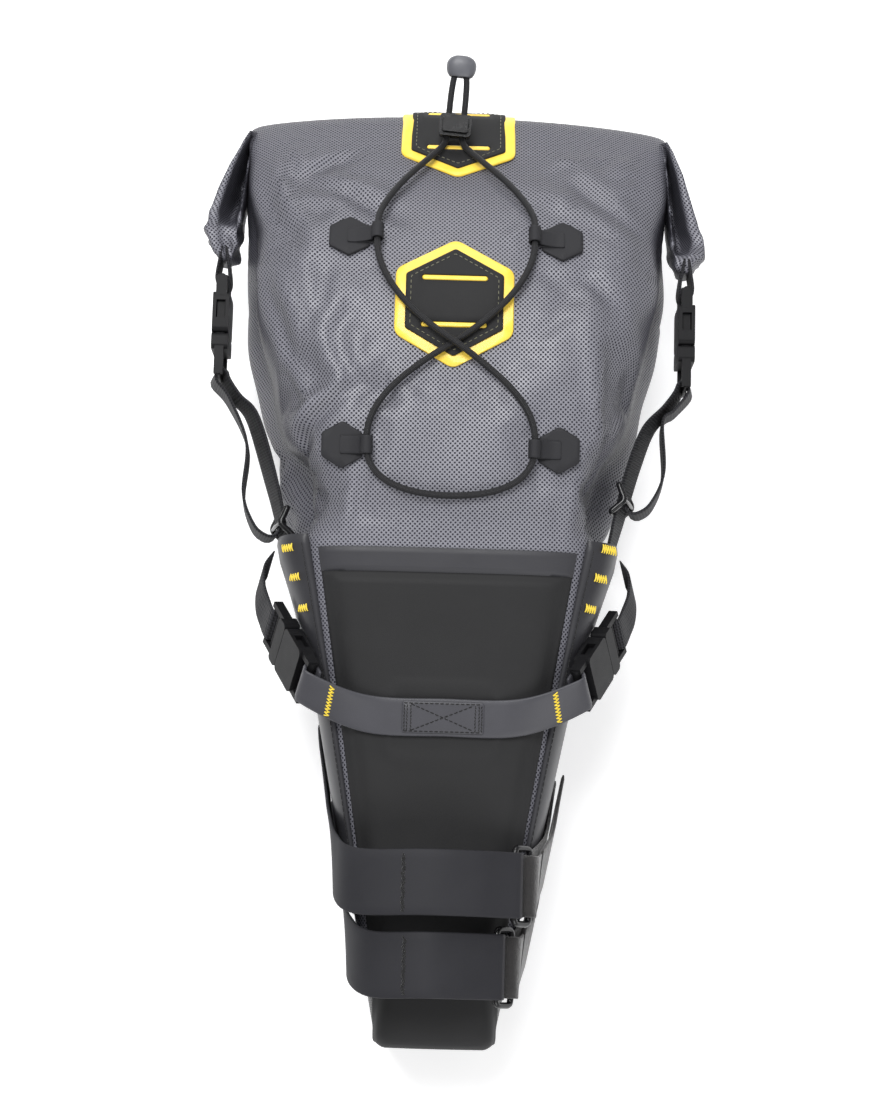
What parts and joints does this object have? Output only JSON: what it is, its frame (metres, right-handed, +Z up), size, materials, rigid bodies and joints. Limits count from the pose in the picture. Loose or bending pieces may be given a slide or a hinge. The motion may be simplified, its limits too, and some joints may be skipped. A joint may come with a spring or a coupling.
{
  "type": "saddle bag",
  "caption": "Tapered roll-top seat pack for a bicycle, with seatpost bands, saddle-rail strap, side compression straps and an elastic cord on top",
  "frame": {"origin": "centre of the flat underside panel, on the plane that the bag rests on", "axes": "+Y from the nose towards the roll closure, +X to the side that carries the rings and the hook-and-loop straps, +Z up from the underside to the top face"},
  "size_m": [0.28, 0.5356, 0.1557],
  "materials": {
    "coated_weave": "grey coated cloth with a fine diagonal woven relief, satin",
    "moulded_panel": "black moulded foam-backed sheet, fine matt grain",
    "panel_header": "charcoal welded band, satin",
    "underside": "black abrasion-proof coated cloth",
    "stiffener": "plain polyethylene sheet",
    "rubberised_fabric": "dark smooth rubber-coated fabric, satin",
    "yellow_thread": "dense bright yellow zigzag stitching",
    "strap_laminate": "charcoal laminated strap, matt with a soft sheen",
    "webbing": "black ribbed nylon webbing",
    "hook_and_loop": "black fleecy hook-and-loop tape",
    "buckle_plastic": "black moulded acetal, fine spark grain",
    "gloss_black_plastic": "glossy black moulding",
    "cap_plastic": "dark grey satin moulding",
    "patch_rubber": "black matt coated patch",
    "yellow_film": "bright yellow satin welded film",
    "elastic_cord": "black braided elastic cord",
    "spring_steel": "coiled spring wire"
  },
  "bodies": {
    "bag": {"bag_shell": "coated_weave", "front_panel": "moulded_panel", "panel_header": "panel_header", "underside_panel": "underside", "nose_stiffener": "stiffener", "wing_left": "rubberised_fabric", "wing_right": "rubberised_fabric", "wing_bartacks_left": "yellow_thread", "wing_bartacks_right": "yellow_thread", "rail_strap": "strap_laminate", "rail_strap_patch": "strap_laminate", "rail_strap_bartacks": "yellow_thread", "rail_buckle_socket_left": "buckle_plastic", "rail_buckle_socket_right": "buckle_plastic", "seatpost_band_upper": "strap_laminate", "seatpost_band_lower": "strap_laminate", "hook_strap_upper": "hook_and_loop", "hook_strap_lower": "hook_and_loop", "light_patch_base_top": "yellow_film", "light_patch_face_top": "patch_rubber", "cord_anchor_tabs": "patch_rubber", "cord_anchor_loops": "patch_rubber", "bungee_cord": "elastic_cord", "compression_webbing_left": "webbing", "compression_webbing_right": "webbing"},
    "roll": {"roll_closure": "coated_weave", "roll_stiffener": "stiffener", "roll_tab_left": "webbing", "roll_tab_right": "webbing", "roll_buckle_socket_left": "buckle_plastic", "roll_buckle_socket_right": "buckle_plastic", "light_patch_base_rear": "yellow_film", "light_patch_face_rear": "patch_rubber", "cord_tails": "elastic_cord", "cord_end_cap": "cap_plastic"},
    "cord_lock": {"cord_lock_body": "gloss_black_plastic", "cord_lock_spring": "spring_steel"},
    "lock_button": {"cord_lock_button": "gloss_black_plastic"},
    "roll_plug_left": {"roll_buckle_plug_left": "buckle_plastic"},
    "roll_plug_right": {"roll_buckle_plug_right": "buckle_plastic"},
    "slider_left": {"strap_slider_left": "buckle_plastic"},
    "slider_right": {"strap_slider_right": "buckle_plastic"},
    "rail_plug_left": {"rail_buckle_plug_left": "buckle_plastic", "rail_webbing_left": "webbing"},
    "rail_plug_right": {"rail_buckle_plug_right": "buckle_plastic", "rail_webbing_right": "webbing"},
    "ring_upper": {"seatpost_ring_upper": "buckle_plastic"},
    "ring_lower": {"seatpost_ring_lower": "buckle_plastic"},
    "hook_flap_upper": {"hook_tail_upper": "hook_and_loop"},
    "hook_flap_lower": {"hook_tail_lower": "hook_and_loop"}
  },
  "joints": [
    {"name": "roll_let_out", "type": "slide", "parent": "bag", "child": "roll", "axis": [0, 1, 0], "range_m": [0, 0.045]},
    {"name": "cord_lock_slide", "type": "slide", "parent": "roll", "child": "cord_lock", "axis": [0.0755, 0.9766, 0.2014], "range_m": [0, 0.018]},
    {"name": "lock_button_press", "type": "slide", "parent": "cord_lock", "child": "lock_button", "axis": [0, 0.2019, -0.9794], "range_m": [0, 0.0022], "stiffness_N_per_m": 900, "springref_m": -0.001, "deforming": ["cord_lock_spring"]},
    {"name": "roll_plug_left_out", "type": "slide", "parent": "bag", "child": "roll_plug_left", "axis": [0, -1, 0], "range_m": [0, 0.024], "deforming": ["compression_webbing_left"]},
    {"name": "roll_plug_right_out", "type": "slide", "parent": "bag", "child": "roll_plug_right", "axis": [0, -1, 0], "range_m": [0, 0.024], "deforming": ["compression_webbing_right"]},
    {"name": "slider_left_slide", "type": "slide", "parent": "bag", "child": "slider_left", "axis": [-0.2355, 0.9719, 0], "range_m": [0, 0.012], "deforming": ["compression_webbing_left"]},
    {"name": "slider_right_slide", "type": "slide", "parent": "bag", "child": "slider_right", "axis": [0.2562, 0.9666, 0], "range_m": [0, 0.012], "deforming": ["compression_webbing_right"]},
    {"name": "rail_plug_left_out", "type": "slide", "parent": "bag", "child": "rail_plug_left", "axis": [-0.3975, 0.6694, -0.6276], "range_m": [0, 0.024], "deforming": ["rail_webbing_left"]},
    {"name": "rail_plug_right_out", "type": "slide", "parent": "bag", "child": "rail_plug_right", "axis": [0.3975, 0.6694, -0.6276], "range_m": [0, 0.024], "deforming": ["rail_webbing_right"]},
    {"name": "ring_upper_pivot", "type": "hinge", "parent": "bag", "child": "ring_upper", "pos_m": [0.03948, -0.099, 0.11381], "axis": [0, 1, 0], "range_deg": [-28, 7], "deforming": ["hook_strap_upper"]},
    {"name": "ring_lower_pivot", "type": "hinge", "parent": "bag", "child": "ring_lower", "pos_m": [0.03125, -0.141, 0.10489], "axis": [0, 1, 0], "range_deg": [-28, 7], "deforming": ["hook_strap_lower"]},
    {"name": "hook_flap_upper_peel", "type": "hinge", "parent": "bag", "child": "hook_flap_upper", "pos_m": [0.053, -0.0954, 0.09406], "axis": [-0.1034, -0.9946, 0], "range_deg": [0, 100]},
    {"name": "hook_flap_lower_peel", "type": "hinge", "parent": "bag", "child": "hook_flap_lower", "pos_m": [0.04477, -0.1374, 0.08514], "axis": [-0.1034, -0.9946, 0], "range_deg": [0, 100]}
  ]
}
